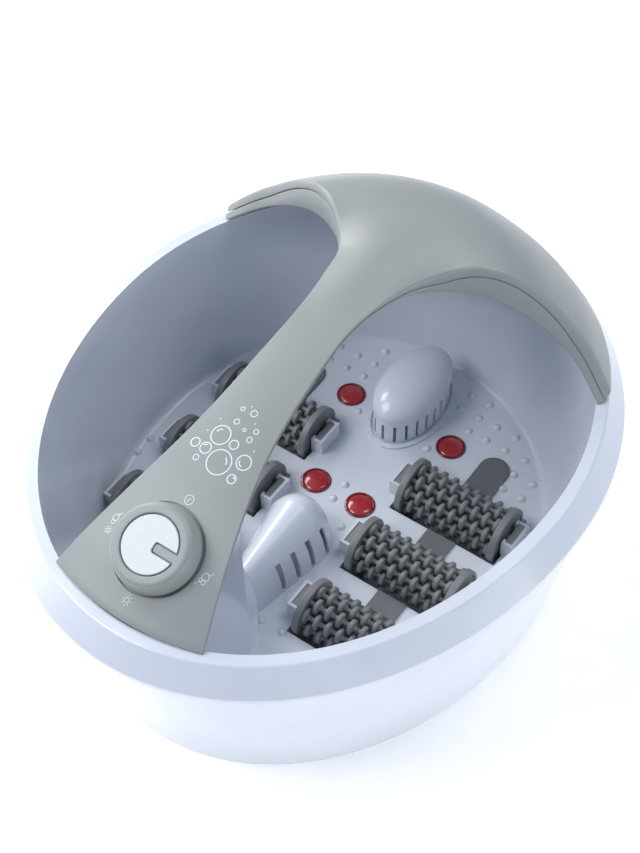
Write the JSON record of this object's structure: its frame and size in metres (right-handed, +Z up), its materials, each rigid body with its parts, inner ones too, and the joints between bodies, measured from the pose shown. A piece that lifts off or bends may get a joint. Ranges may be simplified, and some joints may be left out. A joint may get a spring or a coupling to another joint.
{
  "type": "foot spa basin",
  "caption": "Oval foot spa basin with an arched control bridge, rear splash guard, massage rollers, infrared lenses and a lift-off herb box.",
  "frame": {"origin": "on the resting surface, under the centre of the bounding box", "axes": "+Y towards the splash guard at the back, +X to the user's right when facing +Y, +Z up"},
  "size_m": [0.3488, 0.4096, 0.218],
  "materials": {
    "white_plastic": "glossy moulded ABS",
    "light_grey_plastic": "semi-gloss moulded ABS",
    "dark_grey_plastic": "satin moulded plastic",
    "strip_grey": "satin inlay",
    "red_lens": "translucent red, polished",
    "insert_white": "smooth",
    "rubber": "matt",
    "steel": "plated",
    "board_green": "solder resist",
    "black_plastic": "moulded",
    "heater_aluminium": "pressed sheet",
    "lamp_clear": "clear bulb",
    "silicone": "translucent"
  },
  "bodies": {
    "basin_assembly": {"basin": "white_plastic", "base_housing": "white_plastic", "base_plate": "white_plastic", "rubber_feet": "rubber", "base_screws": "steel", "cord_gland": "black_plastic", "grip_strip_left": "strip_grey", "grip_strip_right": "strip_grey", "lens_rear_left": "red_lens", "lens_rear_right": "red_lens", "lens_front_left": "red_lens", "lens_front_right": "red_lens", "lens_seals": "silicone", "infrared_lamps": "lamp_clear", "lamp_boards": "board_green", "herb_box_basket": "white_plastic", "bridge_cover": "light_grey_plastic", "bridge_liner": "light_grey_plastic", "bridge_screws": "steel", "rotary_switch": "black_plastic", "control_board": "board_green", "control_column": "white_plastic", "intake_hood": "white_plastic", "vibration_motor": "steel", "motor_bracket": "black_plastic", "air_pump": "black_plastic", "air_hose": "silicone", "heater_plate": "heater_aluminium", "thermostat": "steel", "power_board": "board_green", "control_wires": "black_plastic", "roller_axle_left_rear": "dark_grey_plastic", "roller_axle_left_mid": "dark_grey_plastic", "roller_axle_left_front": "dark_grey_plastic", "roller_axle_right_rear": "dark_grey_plastic", "roller_axle_right_mid": "dark_grey_plastic", "roller_axle_right_front": "dark_grey_plastic"},
    "roller_left_rear": {"roller_left_rear": "dark_grey_plastic"},
    "roller_left_mid": {"roller_left_mid": "dark_grey_plastic"},
    "roller_left_front": {"roller_left_front": "dark_grey_plastic"},
    "roller_right_rear": {"roller_right_rear": "dark_grey_plastic"},
    "roller_right_mid": {"roller_right_mid": "dark_grey_plastic"},
    "roller_right_front": {"roller_right_front": "dark_grey_plastic"},
    "knob": {"control_knob": "light_grey_plastic", "knob_insert": "insert_white", "knob_shaft": "steel"},
    "herb_lid": {"herb_box_lid": "white_plastic"},
    "motor_rotor": {"eccentric_weights": "steel"}
  },
  "joints": [
    {"name": "roller_left_rear_spin", "type": "hinge", "parent": "basin_assembly", "child": "roller_left_rear", "pos_m": [-0.0747, 0.0524, 0.034], "axis": [1, 0, 0], "continuous": true},
    {"name": "roller_left_mid_spin", "type": "hinge", "parent": "basin_assembly", "child": "roller_left_mid", "pos_m": [-0.0747, -0.0052, 0.034], "axis": [1, 0, 0], "continuous": true},
    {"name": "roller_left_front_spin", "type": "hinge", "parent": "basin_assembly", "child": "roller_left_front", "pos_m": [-0.0747, -0.0628, 0.034], "axis": [1, 0, 0], "continuous": true},
    {"name": "roller_right_rear_spin", "type": "hinge", "parent": "basin_assembly", "child": "roller_right_rear", "pos_m": [0.0747, 0.0524, 0.034], "axis": [1, 0, 0], "continuous": true},
    {"name": "roller_right_mid_spin", "type": "hinge", "parent": "basin_assembly", "child": "roller_right_mid", "pos_m": [0.0747, -0.0052, 0.034], "axis": [1, 0, 0], "continuous": true},
    {"name": "roller_right_front_spin", "type": "hinge", "parent": "basin_assembly", "child": "roller_right_front", "pos_m": [0.0747, -0.0628, 0.034], "axis": [1, 0, 0], "continuous": true},
    {"name": "knob_turn", "type": "hinge", "parent": "basin_assembly", "child": "knob", "pos_m": [0, -0.1475, 0.1676], "axis": [0, -0.4384, 0.8988], "range_deg": [-180, 90]},
    {"name": "herb_lid_lift", "type": "slide", "parent": "basin_assembly", "child": "herb_lid", "axis": [0, 0, 1], "range_m": [0, 0.05]},
    {"name": "motor_spin", "type": "hinge", "parent": "basin_assembly", "child": "motor_rotor", "pos_m": [0, 0.06, 0.0165], "axis": [1, 0, 0], "continuous": true}
  ]
}
